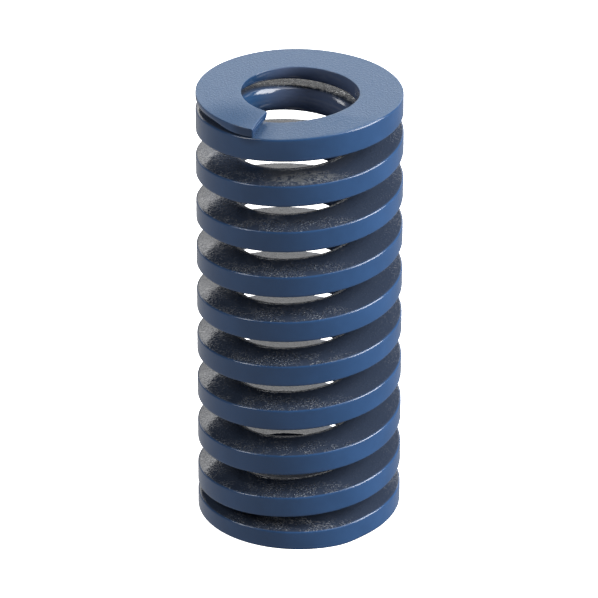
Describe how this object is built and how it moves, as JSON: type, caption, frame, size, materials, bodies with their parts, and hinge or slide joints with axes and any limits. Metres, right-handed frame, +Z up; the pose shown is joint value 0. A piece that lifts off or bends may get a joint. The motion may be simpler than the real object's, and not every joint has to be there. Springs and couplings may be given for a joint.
{
  "type": "helical die spring",
  "caption": "Right-hand helical compression spring of rectangular wire, with closed and ground flat ends, painted dark blue.",
  "frame": {"origin": "centre of the lower ground end, on the spring's axis, in the plane that it stands on", "axes": "+Z up along the spring's axis from the lower ground end to the upper one; -Y is the side that the picture shows, with the wire's upper end left of its middle"},
  "size_m": [0.0198, 0.0198, 0.044],
  "materials": {
    "spring_paint": "gloss"
  },
  "bodies": {
    "root": {"helical_spring": "spring_paint"}
  },
  "joints": []
}
